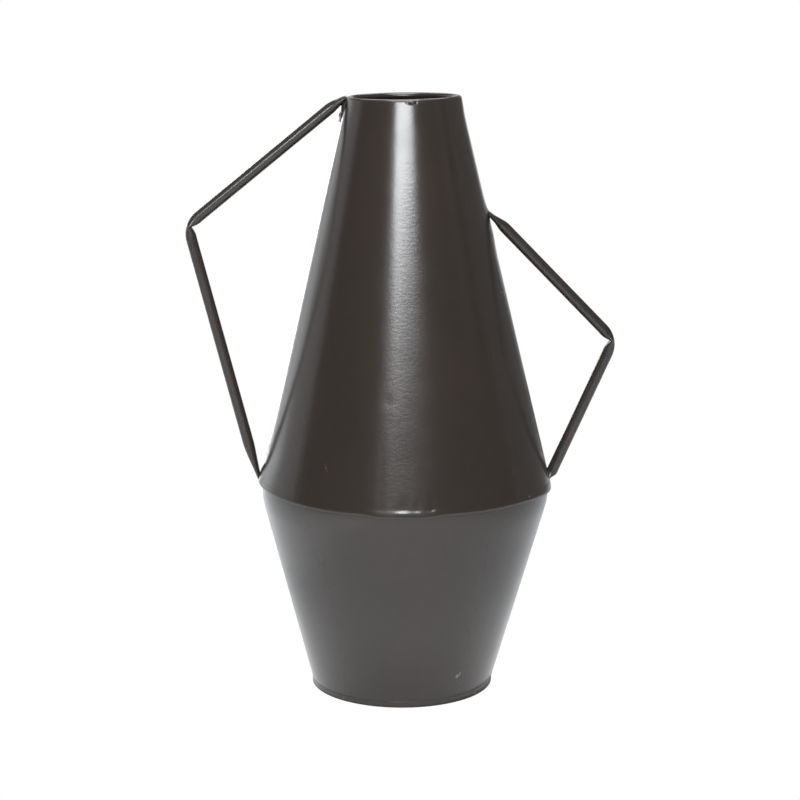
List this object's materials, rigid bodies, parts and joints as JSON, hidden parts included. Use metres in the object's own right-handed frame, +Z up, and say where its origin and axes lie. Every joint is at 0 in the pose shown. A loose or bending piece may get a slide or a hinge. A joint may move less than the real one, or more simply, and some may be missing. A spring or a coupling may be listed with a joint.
{
  "type": "urn vase",
  "caption": "Tall lacquered sheet-iron vase of cones joined at a waist, with a small rolled mouth, a flat foot and bent tube handles set at different heights to lift and carry it.",
  "frame": {"origin": "centre of the underside of the base pan, on the surface that the vase stands on", "axes": "+Z up the vase's axis, -X towards the high handle, +X towards the low handle, -Y to the front"},
  "size_m": [0.2937, 0.2018, 0.4113],
  "materials": {
    "body_lacquer": "semi-gloss dark brown lacquer over iron sheet",
    "handle_lacquer": "semi-gloss dark brown lacquer over iron tube and weld beads",
    "iron_wire": "plain drawn iron wire, closed inside the rolled rim",
    "solder": "dull grey solder"
  },
  "bodies": {
    "root": {"upper_cone": "body_lacquer", "rim_wire": "iron_wire", "lower_cone": "body_lacquer", "base_pan": "body_lacquer", "waist_solder": "solder", "base_solder": "solder", "upper_seam_weld": "body_lacquer", "lower_seam_weld": "body_lacquer", "left_handle": "handle_lacquer", "right_handle": "handle_lacquer", "left_top_weld": "handle_lacquer", "left_low_weld": "handle_lacquer", "right_top_weld": "handle_lacquer", "right_low_weld": "handle_lacquer"}
  },
  "joints": []
}
